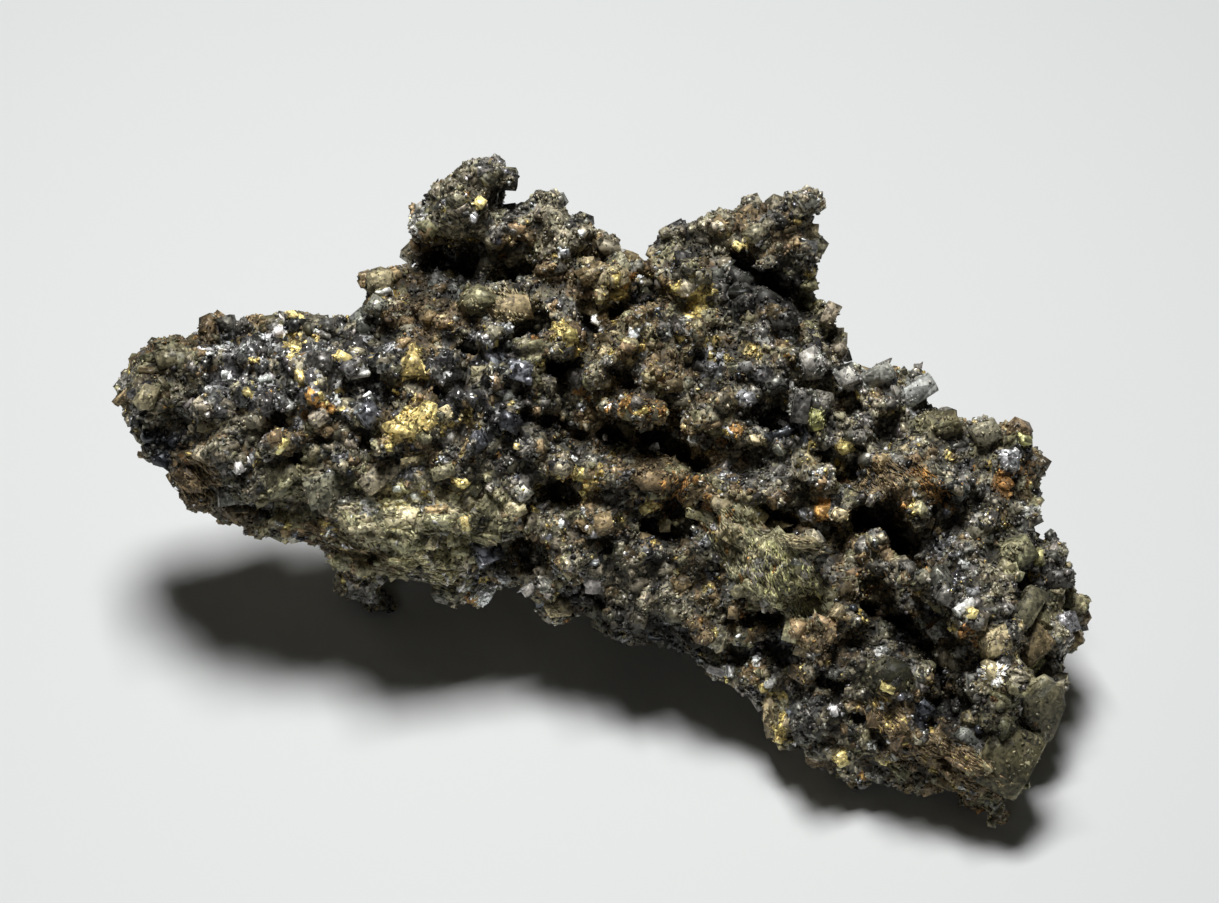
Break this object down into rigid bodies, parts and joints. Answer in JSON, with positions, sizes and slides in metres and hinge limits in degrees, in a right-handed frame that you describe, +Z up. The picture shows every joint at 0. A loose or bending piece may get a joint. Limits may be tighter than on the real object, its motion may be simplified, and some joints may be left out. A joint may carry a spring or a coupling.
{
  "type": "freibergite specimen",
  "caption": "Rough hand specimen of freibergite ore: a leaning plate of intergrown dark sulphide crystals with brassy, rusty and olive patches and blunt upper horns.",
  "frame": {"origin": "centre of the bounding box, at the level of the feet that it rests on", "axes": "+X along the specimen's length, to the right as its display face is seen, +Y to the back, +Z up"},
  "size_m": [0.098, 0.0558, 0.0457],
  "materials": {
    "sulphide_ore": "satin"
  },
  "bodies": {
    "root": {"freibergite_specimen": "sulphide_ore"}
  },
  "joints": []
}
